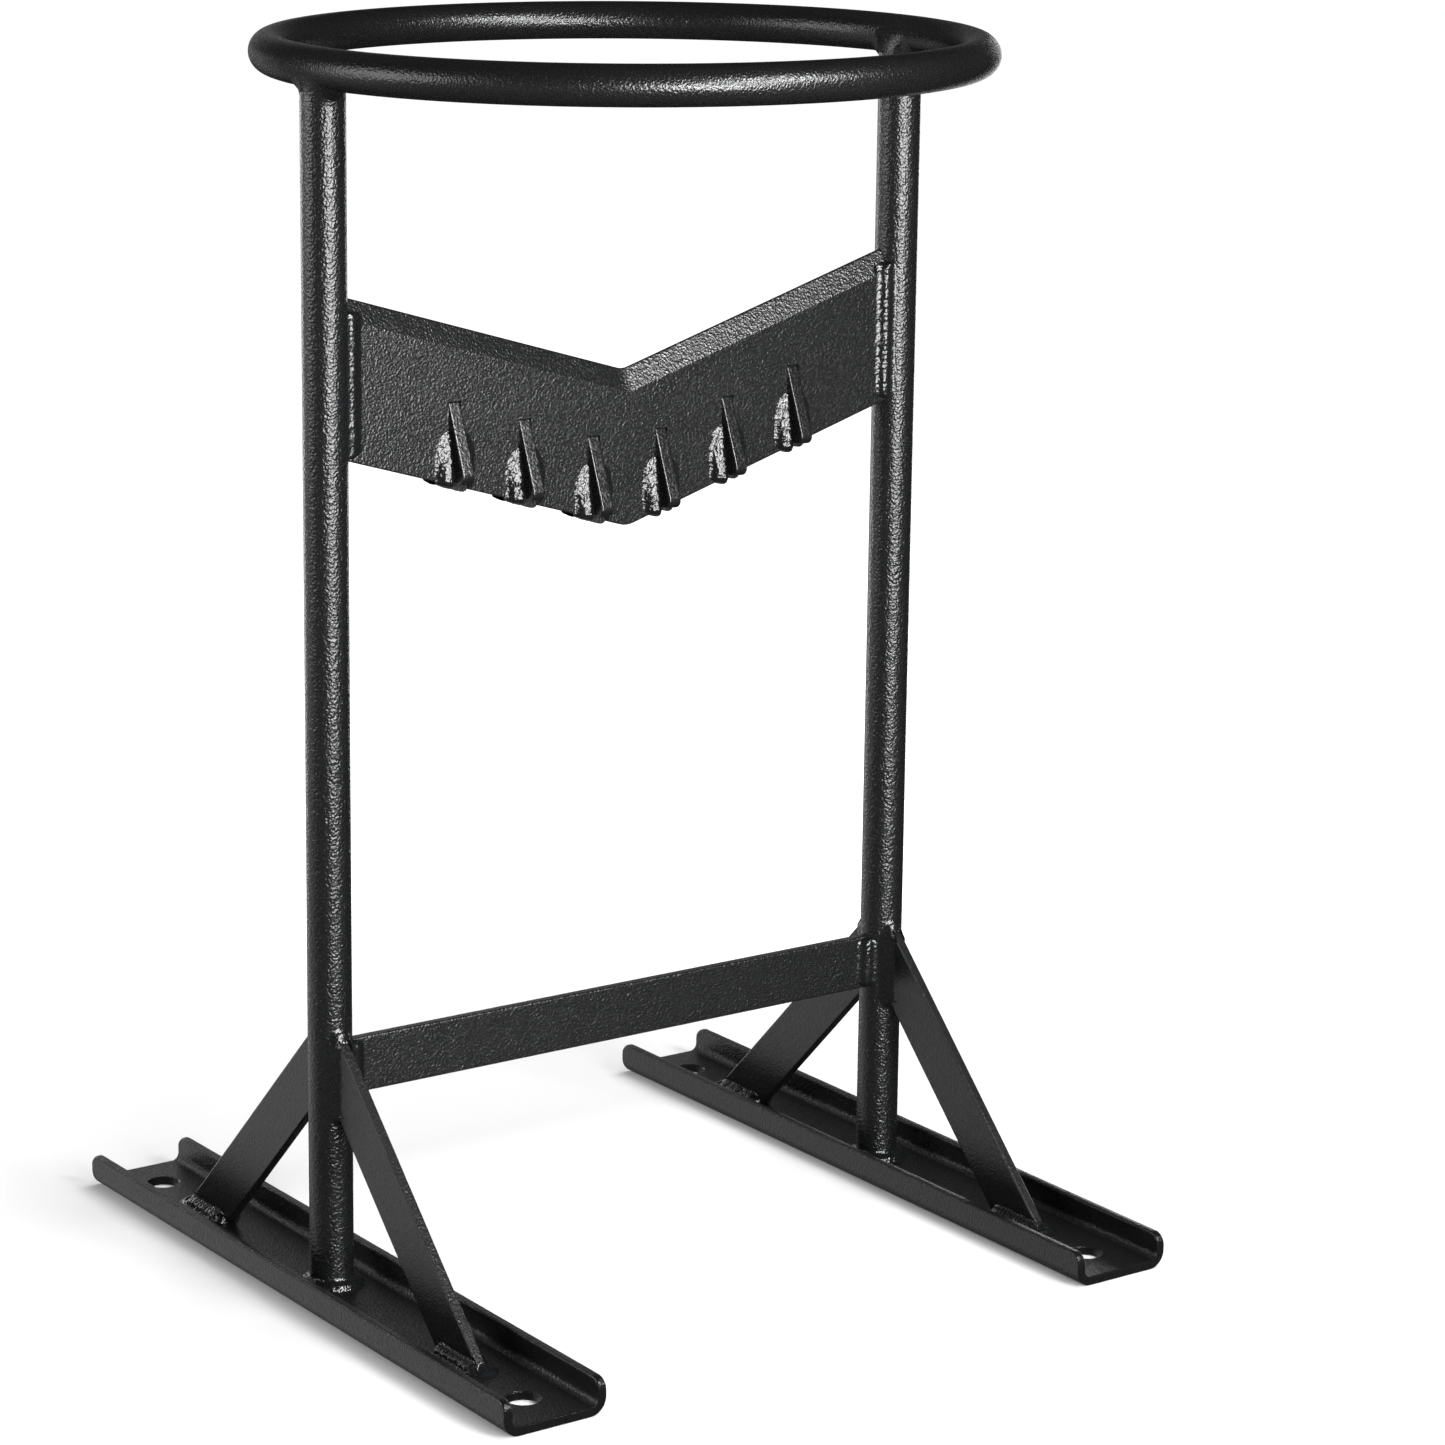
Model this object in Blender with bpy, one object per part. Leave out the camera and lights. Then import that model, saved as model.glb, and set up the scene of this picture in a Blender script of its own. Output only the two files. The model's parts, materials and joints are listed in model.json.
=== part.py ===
"""Manual kindling splitter: one welded steel frame.

A hoop on two posts guides the log down onto an upward-facing V blade. Wedge fins in the blade
spread the split. A cross bar ties the posts, and two channel feet with braces stand on the floor.
Frame: X runs along the blade, -Y is the front, +Z is up, and the origin is on the floor midway
between the feet. All sizes are in metres.
"""
import math

import bmesh
import bpy

# ---- driving dimensions ----
GAP = 0.0003                # clearance left between neighbouring pieces

HOOP_RADIUS = 0.150         # centreline of the hoop's bar
HOOP_BAR_R = 0.0085
HOOP_Z = 0.525              # height of the hoop's centreline
HOOP_STEPS = 96
HOOP_SIDES = 16

POST_X = 0.148
POST_R = 0.0095
POST_SIDES = 40
POST_SHOULDER = 0.005       # how far the coped post ends below the hoop's centreline

BLADE_HALF_T = 0.005
BLADE_BASE_Z = 0.321        # lower corner of the V, on the centre line
BLADE_EDGE_Z = 0.389        # cutting edge at the bottom of the V
BLADE_RISE = 0.302          # rise of each arm for each metre outwards
BEVEL_H = 0.0096
EDGE_LAND = 0.0004          # half width of the flat left on the cutting edge
BLADE_TIP_R = 0.012         # rounding under the V

FIN_PITCH = 0.0352
FIN_X = [FIN_PITCH * step for step in (-2.5, -1.5, -0.5, 0.5, 1.5, 2.5)]
FIN_HALF_T = 0.003
FIN_H = 0.0338
FIN_TOP_HALF_W = 0.0042
FIN_FOOT_HALF_W = 0.0178
FIN_TOE_R = 0.0034
SLOT_H = 0.037              # slot depth, up from the blade's lower edge at the fin
SLOT_HEADROOM = 0.001       # space left above the fin

BAR_HALF_T = 0.0023         # cross bar and braces are cut from the same flat bar
BAR_W = 0.0245
BAR_Z = 0.0885              # lower edge of the cross bar
BAR_CORNER = 0.0004

FOOT_HALF_W = 0.0245
FOOT_HALF_L = 0.1735
FOOT_H = 0.0155
FOOT_T = 0.004
FOOT_OUTER_R = 0.0075
FOOT_HOLE_R = 0.007
FOOT_HOLE_Y = 0.150

BRACE_TOE_Y = 0.122         # outer corner of a brace on the foot's web
BRACE_TOP_Z = 0.1178        # upper corner of a brace on the post

BEAD_SIDES = 8
FIN_BEAD_R = 0.0019
FIN_BEAD_THIN_R = 0.0009     # where the bead passes under the blade
BLADE_BEAD_R = 0.0020
BAR_BEAD_R = 0.0016
POST_BEAD_R = 0.0020
HOOP_BEAD_R = 0.0016
BRACE_BEAD_R = 0.0016

STEEL_COLOUR = (0.030, 0.031, 0.033, 1.0)
WELD_COLOUR = (0.040, 0.041, 0.043, 1.0)
SMOOTH_ANGLE = math.radians(32)
CUTTER_REACH = 0.03         # how far a cutter runs past what it cuts


# ---- shared helpers ----
def clear_scene():
    for item in list(bpy.data.objects):
        bpy.data.objects.remove(item, do_unlink=True)


def paint(name, colour, roughness):
    material = bpy.data.materials.new(name)
    material.use_nodes = True
    shader = material.node_tree.nodes["Principled BSDF"]
    shader.inputs["Base Color"].default_value = colour
    shader.inputs["Roughness"].default_value = roughness
    shader.inputs["Metallic"].default_value = 0.0
    return material


def add_object(name, bm, colour=STEEL_COLOUR, roughness=0.42, place=(0.0, 0.0, 0.0)):
    """Close the bmesh into a named object with its own paint."""
    bmesh.ops.recalc_face_normals(bm, faces=bm.faces)
    mesh = bpy.data.meshes.new(name)
    bm.to_mesh(mesh)
    bm.free()
    mesh.shade_smooth()
    mesh.set_sharp_from_angle(angle=SMOOTH_ANGLE)
    part = bpy.data.objects.new(name, mesh)
    part.location = place
    bpy.context.collection.objects.link(part)
    mesh.materials.append(paint(name + "_paint", colour, roughness))
    return part


def loft(rings, closed=False):
    """Skin a list of equal rings of points, with end caps unless the list closes on itself."""
    bm = bmesh.new()
    rows = [[bm.verts.new(point) for point in ring] for ring in rings]
    pairs = list(zip(rows, rows[1:]))
    if closed:
        pairs.append((rows[-1], rows[0]))
    for low, high in pairs:
        for i in range(len(low)):
            j = (i + 1) % len(low)
            bm.faces.new((low[i], low[j], high[j], high[i]))
    if not closed:
        bm.faces.new(list(reversed(rows[0])))
        bm.faces.new(rows[-1])
    return bm


def circle(radius, sides):
    turns = [2.0 * math.pi * i / sides for i in range(sides)]
    return [(radius * math.cos(a), radius * math.sin(a)) for a in turns]


def arc(cx, cy, radius, start, end, steps):
    """Points on an arc, its angles in degrees."""
    angles = [math.radians(start + (end - start) * i / steps) for i in range(steps + 1)]
    return [(cx + radius * math.cos(a), cy + radius * math.sin(a)) for a in angles]


def prism_x(outline, half_t):
    """Extrude a (y, z) outline along X."""
    return loft([[(x, y, z) for y, z in outline] for x in (-half_t, half_t)])


def round_bar(radius, low, high, sides=POST_SIDES):
    return loft([[(x, y, z) for x, y in circle(radius, sides)] for z in (low, high)])


def cut(part, cutter):
    """Subtract a cutter, which stays in the file as a hidden guide."""
    cutter.hide_render = True
    cutter.display_type = "WIRE"
    difference = part.modifiers.new("cut_" + cutter.name, "BOOLEAN")
    difference.operation = "DIFFERENCE"
    difference.solver = "EXACT"
    difference.object = cutter


def soften(part, width, segments=1):
    bevel = part.modifiers.new("soften", "BEVEL")
    bevel.width = width
    bevel.segments = segments
    bevel.limit_method = "ANGLE"
    bevel.angle_limit = math.radians(50)


def bead(name, path, radii, closed=False):
    """A weld bead: a thin round section swept along a path of (x, y, z) points."""
    rings = []
    count = len(path)
    if isinstance(radii, float):
        radii = [radii] * count
    for i, point in enumerate(path):
        before = path[(i - 1) % count] if closed or i > 0 else point
        after = path[(i + 1) % count] if closed or i < count - 1 else point
        along = [after[k] - before[k] for k in range(3)]
        rings.append(section(point, along, radii[i]))
    return add_object(name, loft(rings, closed), WELD_COLOUR, 0.38)


def section(point, along, radius):
    """A ring of points around a path point, square to the path's direction."""
    length = math.sqrt(sum(part * part for part in along))
    tx, ty, tz = (part / length for part in along)
    # the bead paths never run along the (1, 1, 0) direction, so it fixes each ring's start
    side = (0.70711, 0.70711, 0.0)
    lean = side[0] * tx + side[1] * ty
    ux, uy, uz = side[0] - lean * tx, side[1] - lean * ty, -lean * tz
    size = math.sqrt(ux * ux + uy * uy + uz * uz)
    ux, uy, uz = ux / size, uy / size, uz / size
    vx, vy, vz = ty * uz - tz * uy, tz * ux - tx * uz, tx * uy - ty * ux
    ring = []
    for c, s in circle(radius, BEAD_SIDES):
        ring.append((point[0] + c * ux + s * vx, point[1] + c * uy + s * vy, point[2] + c * uz + s * vz))
    return ring


# ---- hoop and posts ----
def hoop_rings(radius, bar_r, steps, sides):
    rings = []
    for i in range(steps):
        turn = 2.0 * math.pi * i / steps
        ring = []
        for out, up in circle(bar_r, sides):
            reach = radius + out
            ring.append((reach * math.cos(turn), reach * math.sin(turn), up))
        rings.append(ring)
    return rings


def build_hoop():
    bm = loft(hoop_rings(HOOP_RADIUS, HOOP_BAR_R, HOOP_STEPS, HOOP_SIDES), closed=True)
    add_object("hoop", bm, place=(0.0, 0.0, HOOP_Z))


def build_posts():
    """Two round bars, their upper ends coped to the underside of the hoop."""
    bm = loft(hoop_rings(HOOP_RADIUS, HOOP_BAR_R + GAP, HOOP_STEPS, 24), closed=True)
    cope = add_object("hoop_cope_cutter", bm, place=(0.0, 0.0, HOOP_Z))
    for side, name in ((-1, "post_left"), (1, "post_right")):
        bm = round_bar(POST_R, FOOT_T + GAP, HOOP_Z - POST_SHOULDER)
        post = add_object(name, bm, place=(side * POST_X, 0.0, 0.0))
        cut(post, cope)


def post_cutters():
    cutters = []
    for side, name in ((-1, "post_left_cutter"), (1, "post_right_cutter")):
        bm = round_bar(POST_R + GAP, BAR_Z - CUTTER_REACH, HOOP_Z - CUTTER_REACH)
        cutters.append(add_object(name, bm, place=(side * POST_X, 0.0, 0.0)))
    return cutters


# ---- splitting blade and fins ----
def blade_base(x):
    """Height of the blade's lower edge, rounded under the V."""
    slope = math.atan(BLADE_RISE)
    if abs(x) >= BLADE_TIP_R * math.sin(slope):
        return BLADE_BASE_Z + BLADE_RISE * abs(x)
    centre = BLADE_BASE_Z + BLADE_TIP_R / math.cos(slope)
    return centre - math.sqrt(BLADE_TIP_R ** 2 - x * x)


def blade_section(x):
    base = blade_base(x)
    edge = BLADE_EDGE_Z + BLADE_RISE * abs(x)
    shoulder = edge - BEVEL_H
    front = [(-BLADE_HALF_T, base), (-BLADE_HALF_T, shoulder), (-EDGE_LAND, edge)]
    back = [(-y, z) for y, z in reversed(front)]
    return [(x, y, z) for y, z in front + back]


def slot_top(x):
    return BLADE_BASE_Z + BLADE_RISE * abs(x) + SLOT_H


def build_blade(cutters):
    """A bevelled V plate, coped to the posts, with a slot cut up from its lower edge for each fin."""
    reach = BLADE_TIP_R * math.sin(math.atan(BLADE_RISE))
    near = [reach * step / 4 for step in range(-4, 5)]
    bm = loft([blade_section(x) for x in [-POST_X] + near + [POST_X]])
    blade = add_object("blade", bm)
    for cutter in cutters:
        cut(blade, cutter)
    for number, x in enumerate(FIN_X, start=1):
        top = slot_top(x)
        bottom = top - SLOT_H - CUTTER_REACH
        outline = [(-CUTTER_REACH, bottom), (CUTTER_REACH, bottom), (CUTTER_REACH, top), (-CUTTER_REACH, top)]
        bm = prism_x(outline, FIN_HALF_T + GAP)
        cut(blade, add_object("slot_cutter_%d" % number, bm, place=(x, 0.0, 0.0)))


def build_fins():
    """Wedge plates that stand in the slots and widen downwards, with rounded toes."""
    centre = FIN_FOOT_HALF_W - FIN_TOE_R
    lean = math.degrees(math.atan2(FIN_FOOT_HALF_W - FIN_TOP_HALF_W, FIN_H - FIN_TOE_R))
    toe = arc(centre, FIN_TOE_R, FIN_TOE_R, -90.0, lean, 5)
    half = toe + [(FIN_TOP_HALF_W, FIN_H)]
    outline = half + [(-y, z) for y, z in reversed(half)]
    for number, x in enumerate(FIN_X, start=1):
        foot = slot_top(x) - SLOT_HEADROOM - FIN_H
        fin = add_object("fin_%d" % number, prism_x(outline, FIN_HALF_T), place=(x, 0.0, foot))
        soften(fin, 0.0003)


# ---- cross bar, feet and braces ----
def build_cross_bar(cutters):
    outline = [(-BAR_HALF_T, 0.0), (BAR_HALF_T, 0.0), (BAR_HALF_T, BAR_W), (-BAR_HALF_T, BAR_W)]
    bar = add_object("cross_bar", prism_x(outline, POST_X), place=(0.0, 0.0, BAR_Z))
    soften(bar, BAR_CORNER)
    for cutter in cutters:
        cut(bar, cutter)


def foot_outline():
    """Half of a channel's (x, z) section, flanges up, from the middle of the web outwards."""
    inner_r = FOOT_OUTER_R - FOOT_T
    bend = FOOT_HALF_W - FOOT_OUTER_R
    lip = 0.001
    outer = arc(bend, FOOT_OUTER_R, FOOT_OUTER_R, -90.0, 0.0, 6)
    tip = arc(FOOT_HALF_W - lip, FOOT_H - lip, lip, 0.0, 90.0, 3)
    inner_tip = arc(FOOT_HALF_W - FOOT_T + lip, FOOT_H - lip, lip, 90.0, 180.0, 3)
    inner = arc(bend, FOOT_OUTER_R, inner_r, 0.0, -90.0, 5)
    return outer, tip + inner_tip + inner


def build_feet():
    outer, rest = foot_outline()
    half = outer + rest
    outline = half + [(-x, z) for x, z in reversed(half)]
    for side, name in ((-1, "foot_left"), (1, "foot_right")):
        bm = loft([[(x, y, z) for x, z in outline] for y in (-FOOT_HALF_L, FOOT_HALF_L)])
        foot = add_object(name, bm, place=(side * POST_X, 0.0, 0.0))
        for end, place in ((-1, "front"), (1, "back")):
            bm = round_bar(FOOT_HOLE_R, -CUTTER_REACH, CUTTER_REACH, 32)
            spot = (side * POST_X, end * FOOT_HOLE_Y, 0.0)
            cut(foot, add_object("%s_%s_hole_cutter" % (name, place), bm, place=spot))


def brace_outline():
    """A flat bar from the foot's web to the post, as (distance from the post's axis, z)."""
    web = FOOT_T + GAP
    wall = POST_R + GAP
    run = BRACE_TOE_Y - wall
    rise = BRACE_TOP_Z - web
    length = math.hypot(run, rise)
    foot_w = BAR_W * length / rise
    wall_w = BAR_W * length / run
    return [(BRACE_TOE_Y, web), (wall, BRACE_TOP_Z), (wall, BRACE_TOP_Z - wall_w), (BRACE_TOE_Y - foot_w, web)]


def brace_places():
    for side, post in ((-1, "left"), (1, "right")):
        for end, place in ((-1, "front"), (1, "back")):
            yield side * POST_X, end, "%s_%s" % (post, place)


def build_braces():
    for x, end, place in brace_places():
        outline = [(end * y, z) for y, z in brace_outline()]
        brace = add_object("brace_" + place, prism_x(outline, BAR_HALF_T), place=(x, 0.0, 0.0))
        soften(brace, BAR_CORNER)


# ---- weld beads ----
def corner_offset(bead_r, half_t):
    """Where a bead sits in the corner between a post and a plate: along and across the plate."""
    across = half_t + GAP + bead_r
    along = math.sqrt((POST_R + GAP + bead_r) ** 2 - across ** 2)
    return along, across


def build_hoop_welds():
    """A saddle-shaped bead around each post, under the hoop."""
    steps = 36
    reach = POST_R + GAP + HOOP_BEAD_R
    clear = HOOP_BAR_R + GAP + HOOP_BEAD_R
    for side, name in ((-1, "weld_hoop_left"), (1, "weld_hoop_right")):
        path = []
        for i in range(steps):
            turn = 2.0 * math.pi * i / steps
            x = side * POST_X + reach * math.cos(turn)
            y = reach * math.sin(turn)
            off_centre = math.hypot(x, y) - HOOP_RADIUS
            drop = math.sqrt(max(0.0, clear ** 2 - off_centre ** 2))
            path.append((x, y, HOOP_Z - max(drop, POST_SHOULDER + HOOP_BEAD_R)))
        bead(name, path, HOOP_BEAD_R, closed=True)


def build_blade_welds():
    along, across = corner_offset(BLADE_BEAD_R, BLADE_HALF_T)
    for side, post in ((-1, "left"), (1, "right")):
        x = POST_X - along
        low = BLADE_BASE_Z + BLADE_RISE * x
        high = BLADE_EDGE_Z + BLADE_RISE * x - BEVEL_H
        for end, place in ((-1, "front"), (1, "back")):
            path = [(side * x, end * across, low + (high - low) * i / 4) for i in range(5)]
            bead("weld_blade_%s_%s" % (post, place), path, BLADE_BEAD_R)


def build_fin_welds():
    """Each side of a fin has one bead: down the blade's front, thinly under its edge, up its back."""
    across = BLADE_HALF_T + GAP + FIN_BEAD_R
    corner = across - BLADE_HALF_T
    thin = FIN_BEAD_THIN_R
    swell = [thin, thin * 1.1, thin * 1.4, FIN_BEAD_R * 0.9, FIN_BEAD_R, FIN_BEAD_R * 0.6]
    for number, x in enumerate(FIN_X, start=1):
        for side, name in ((-1, "left"), (1, "right")):
            bead_x = x + side * (FIN_HALF_T + GAP + FIN_BEAD_R)
            lowest = blade_base(abs(bead_x) - FIN_BEAD_R)
            under = lowest - GAP - FIN_BEAD_THIN_R * math.sqrt(1.0 + BLADE_RISE ** 2)
            high = slot_top(x) - SLOT_HEADROOM - FIN_H * 0.42
            turn = arc(across - corner, under + corner, corner, -90.0, 0.0, 3)
            half = turn + [(across, (under + corner + high) / 2), (across, high)]
            outline = [(-y, z) for y, z in reversed(half)] + half
            path = [(bead_x, y, z) for y, z in outline]
            bead("weld_fin_%d_%s" % (number, name), path, swell[::-1] + swell)


def build_bar_welds():
    along, across = corner_offset(BAR_BEAD_R, BAR_HALF_T)
    low = BAR_Z + BAR_BEAD_R
    high = BAR_Z + BAR_W - BAR_BEAD_R
    for side, post in ((-1, "left"), (1, "right")):
        for end, place in ((-1, "front"), (1, "back")):
            x = side * (POST_X - along)
            path = [(x, end * across, low + (high - low) * i / 2) for i in range(3)]
            bead("weld_bar_%s_%s" % (post, place), path, BAR_BEAD_R)


def build_post_welds():
    reach = POST_R + GAP + POST_BEAD_R
    z = FOOT_T + GAP + POST_BEAD_R
    for side, name in ((-1, "weld_foot_left"), (1, "weld_foot_right")):
        path = [(side * POST_X + x, y, z) for x, y in circle(reach, 32)]
        bead(name, path, POST_BEAD_R, closed=True)


def build_brace_welds():
    """U-shaped beads: down one side of a brace, around its lower corner, up the other side."""
    toe, top, under, heel = brace_outline()
    along, across = corner_offset(BRACE_BEAD_R, BAR_HALF_T)
    clear = GAP + BRACE_BEAD_R
    for x, end, place in brace_places():
        slack = 0.0012
        bottom = under[1] - clear - slack
        side = [(across, along, top[1] - 0.003), (across, along, under[1] - slack)]
        turn = [(across * 0.6, POST_R + clear, bottom - clear * 0.6)]
        half = side + turn
        outline = half + [(0.0, POST_R + clear, bottom - clear)] + [(-u, v, w) for u, v, w in reversed(half)]
        bead("weld_brace_%s_top" % place, [(x + u, end * v, w) for u, v, w in outline], BRACE_BEAD_R)

        z = FOOT_T + clear
        half = [(across, heel[0] + 0.003, z), (across, toe[0] - 0.001, z)]
        half.append((across * 0.7, toe[0] + clear * 0.7, z))
        outline = half + [(0.0, toe[0] + clear, z)] + [(-u, v, w) for u, v, w in reversed(half)]
        bead("weld_brace_%s_foot" % place, [(x + u, end * v, w) for u, v, w in outline], BRACE_BEAD_R)


def main():
    clear_scene()
    build_hoop()
    build_posts()
    cutters = post_cutters()
    build_blade(cutters)
    build_fins()
    build_cross_bar(cutters)
    build_feet()
    build_braces()
    build_hoop_welds()
    build_blade_welds()
    build_fin_welds()
    build_bar_welds()
    build_post_welds()
    build_brace_welds()


main()
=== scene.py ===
"""Looks of the manual kindling splitter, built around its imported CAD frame.

Every bar, plate and weld is rebuilt as a finer piece from the CAD boxes: rolled edges, coped
ends, punched holes and weld beads, under one coat of black hammertone enamel.
All sizes are in metres, in the CAD frame: X along the blade, -Y the front, +Z up.
"""

import json
import math

import bmesh
import bpy
import numpy as np
from mathutils import Matrix, Vector, noise

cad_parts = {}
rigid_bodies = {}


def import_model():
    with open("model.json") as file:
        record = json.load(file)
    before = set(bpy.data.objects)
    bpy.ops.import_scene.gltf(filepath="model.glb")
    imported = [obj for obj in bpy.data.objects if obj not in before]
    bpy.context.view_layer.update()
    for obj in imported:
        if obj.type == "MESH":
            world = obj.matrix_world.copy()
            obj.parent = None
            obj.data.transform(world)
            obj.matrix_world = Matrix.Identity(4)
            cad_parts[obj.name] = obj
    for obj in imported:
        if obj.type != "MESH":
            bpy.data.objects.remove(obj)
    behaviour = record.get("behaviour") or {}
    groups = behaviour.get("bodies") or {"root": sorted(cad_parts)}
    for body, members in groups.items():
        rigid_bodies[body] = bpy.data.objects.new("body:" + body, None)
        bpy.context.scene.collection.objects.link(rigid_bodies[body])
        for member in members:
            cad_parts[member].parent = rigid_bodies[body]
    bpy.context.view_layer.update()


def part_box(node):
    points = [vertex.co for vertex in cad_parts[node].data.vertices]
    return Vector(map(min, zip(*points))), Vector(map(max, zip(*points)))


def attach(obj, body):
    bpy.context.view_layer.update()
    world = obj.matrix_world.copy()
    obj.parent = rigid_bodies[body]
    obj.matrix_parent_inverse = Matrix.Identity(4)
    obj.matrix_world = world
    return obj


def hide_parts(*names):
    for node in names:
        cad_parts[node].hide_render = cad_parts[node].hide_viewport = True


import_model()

# ---- dimensions: places come from the CAD boxes, finishing sizes are set here ----
BODY = "root"
HOOP_LOW, HOOP_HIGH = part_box("hoop")
HOOP_Z = (HOOP_LOW.z + HOOP_HIGH.z) / 2
HOOP_BAR_R = (HOOP_HIGH.z - HOOP_LOW.z) / 2
HOOP_RADIUS = (HOOP_HIGH.y - HOOP_LOW.y) / 2 - HOOP_BAR_R
HOOP_STEPS, HOOP_SIDES = 288, 48

POST_LOW, POST_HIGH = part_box("post_right")
POST_X = (POST_LOW.x + POST_HIGH.x) / 2
POST_R = (POST_HIGH.y - POST_LOW.y) / 2
POST_SIDES = 72
POST_TOP = HOOP_Z - HOOP_BAR_R + 0.0006     # just inside the hoop's bar
COPE_SINK = 0.0004          # how far the blade and the bar run into the posts' walls

BLADE_LOW, BLADE_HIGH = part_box("blade")
BLADE_HALF_T = (BLADE_HIGH.y - BLADE_LOW.y) / 2
BLADE_RISE = 0.302          # rise of each arm for each metre outwards
BLADE_TIP_R = 0.012         # rounding under the V
BLADE_TILT = math.atan(BLADE_RISE)
BLADE_BASE_Z = BLADE_LOW.z - BLADE_TIP_R * (1.0 / math.cos(BLADE_TILT) - 1.0)
BLADE_DEPTH = 0.068         # from the lower corner of the V up to its cutting edge
NOTCH_R = 0.009             # rounding of the cutting edge in the notch
BEVEL_H = 0.0096            # height of the bevel under the cutting edge
BEVEL_SOFT_R = 0.0016       # rounding where the bevel leaves the face
EDGE_LAND = 0.0004          # half the flat left on the cutting edge
PLATE_ROUND = 0.0006        # rolled or painted-over plate edges

FIN_NAMES = ["fin_%d" % number for number in range(1, 7)]
SLOT_CLEAR = 0.00005        # slot width beyond the fin, each side: the paint closes the gap
SLOT_HEADROOM = 0.0001
SLOT_REACH = 0.03           # the slot cutter's reach each side of the blade
SLOT_DROP = 0.06            # and downwards
FIN_TOP_HALF = 0.0042       # half the fin's depth at its top
FIN_FOOT_R, FIN_TOP_R = 0.0034, 0.0012

BAR_LOW, BAR_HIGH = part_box("cross_bar")
BAR_HALF_T = (BAR_HIGH.y - BAR_LOW.y) / 2
BAR_ROUND = 0.0007

FOOT_LOW, FOOT_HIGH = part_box("foot_right")
FOOT_HALF_W = (FOOT_HIGH.x - FOOT_LOW.x) / 2
FOOT_HALF_L = (FOOT_HIGH.y - FOOT_LOW.y) / 2
FOOT_H = FOOT_HIGH.z
FOOT_T = 0.004
WEB_Z = FOOT_T              # top of the web
FOOT_OUTER_R = 0.0075
FOOT_LIP_R = 0.0012         # rounding of the flanges' tops
FOOT_NOSE_R = 0.0050        # rounding of the flanges at the channel's ends
FOOT_HOLE_R = 0.007
FOOT_HOLE_Y = 0.150
HOLE_RIM = 0.0005           # the punched holes' broken edges
HOLE_SIDES = 64

BRACE_CORNER_R = 0.0015
HOLD = 0.0004               # distance of the points that hold a rounding's ends
STATION = 0.00042           # spacing of the sections along a weld bead
COLLAR_LEG = 0.0062         # height of the collar where a post runs into the hoop

SIDES = ((-1, "left"), (1, "right"))
ENDS = ((-1, "front"), (1, "back"))


# ---- node helpers ----
class Nodes:
    """A small writer for node trees: each call adds a node and returns its output."""

    def __init__(self, tree):
        self.tree = tree
        self.links = tree.links

    def add(self, kind, **settings):
        node = self.tree.nodes.new(kind)
        for key, value in settings.items():
            setattr(node, key, value)
        return node

    def feed(self, node, inputs):
        for key, value in inputs.items():
            if isinstance(value, bpy.types.NodeSocket):
                self.links.new(value, node.inputs[key])
            else:
                node.inputs[key].default_value = value
        return node

    def math(self, operation, a, b=0.0):
        node = self.add("ShaderNodeMath", operation=operation)
        self.feed(node, {0: a, 1: b})
        return node.outputs[0]

    def ramp(self, value, low, high, to_low=0.0, to_high=1.0):
        """A smooth step, from to_low at low to to_high at high."""
        node = self.add("ShaderNodeMapRange", clamp=True, interpolation_type="SMOOTHSTEP")
        self.feed(node, {"Value": value, "From Min": low, "From Max": high,
                         "To Min": to_low, "To Max": to_high})
        return node.outputs["Result"]

    def noise(self, vector, scale, detail=1.0, roughness=0.5, distortion=0.0):
        node = self.add("ShaderNodeTexNoise")
        self.feed(node, {"Vector": vector, "Scale": scale, "Detail": detail,
                         "Roughness": roughness, "Distortion": distortion})
        return node.outputs["Fac"]

    def mix(self, factor, a, b):
        node = self.add("ShaderNodeMix", data_type="RGBA")
        self.feed(node, {0: factor, 6: a, 7: b})
        return node.outputs[2]

    def facing(self, way, towards):
        """How nearly a direction points towards another: 1 when it does, 0 when square to it."""
        node = self.add("ShaderNodeVectorMath", operation="DOT_PRODUCT")
        self.feed(node, {0: way, 1: tuple(towards)})
        return node.outputs["Value"]


# ---- hammertone enamel ----
WHITE = (1.0, 1.0, 1.0, 1.0)
VALLEY, CROWN = 0.7, 1.3    # low and high places of the skin, before the bump's depth scales them


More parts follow.
